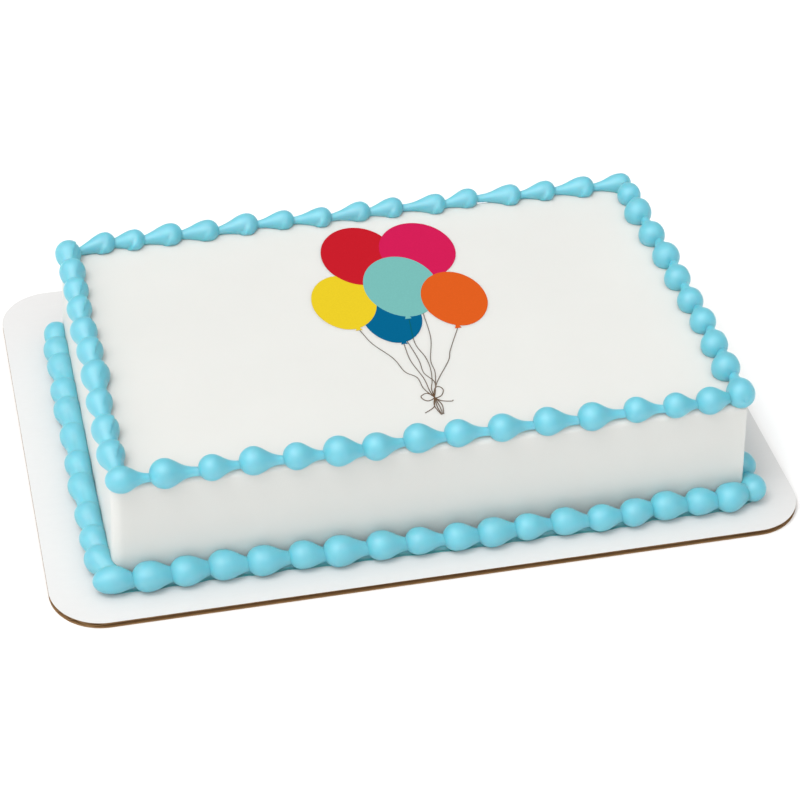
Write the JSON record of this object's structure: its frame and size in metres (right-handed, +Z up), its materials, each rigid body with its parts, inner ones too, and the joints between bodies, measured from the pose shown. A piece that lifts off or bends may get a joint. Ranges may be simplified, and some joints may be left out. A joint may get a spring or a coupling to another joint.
{
  "type": "balloon decorated cake",
  "caption": "White iced rectangular sheet cake on its corrugated board, with blue piped bead borders and a printed bunch of balloons.",
  "frame": {"origin": "centre of the board's underside, on the surface that the cake's board stands on", "axes": "+X along the board's long side to the right, +Y from the front to the back, +Z up"},
  "size_m": [0.3556, 0.254, 0.0679],
  "materials": {
    "kraft_card": "brown corrugated card, matte",
    "white_paper": "white paper liner, matte",
    "white_icing": "smooth white buttercream, satin",
    "blue_icing": "light blue buttercream, satin",
    "print_orange": "edible print, flat orange",
    "print_teal": "edible print, flat teal",
    "print_magenta": "edible print, flat magenta",
    "print_red": "edible print, flat red",
    "print_yellow": "edible print, flat yellow",
    "print_blue": "edible print, flat dark blue",
    "print_thread": "edible print, thin grey brown lines"
  },
  "bodies": {
    "root": {"board_bottom_liner": "kraft_card", "board_core": "kraft_card", "board_top_liner": "white_paper", "iced_cake": "white_icing", "top_border_left": "blue_icing", "top_border_front": "blue_icing", "top_border_right": "blue_icing", "top_border_back": "blue_icing", "bottom_border_left": "blue_icing", "bottom_border_front": "blue_icing", "bottom_border_right": "blue_icing", "bottom_border_back": "blue_icing", "balloon_orange": "print_orange", "balloon_teal": "print_teal", "balloon_magenta": "print_magenta", "balloon_red": "print_red", "balloon_yellow": "print_yellow", "balloon_blue": "print_blue", "print_strings": "print_thread"}
  },
  "joints": []
}
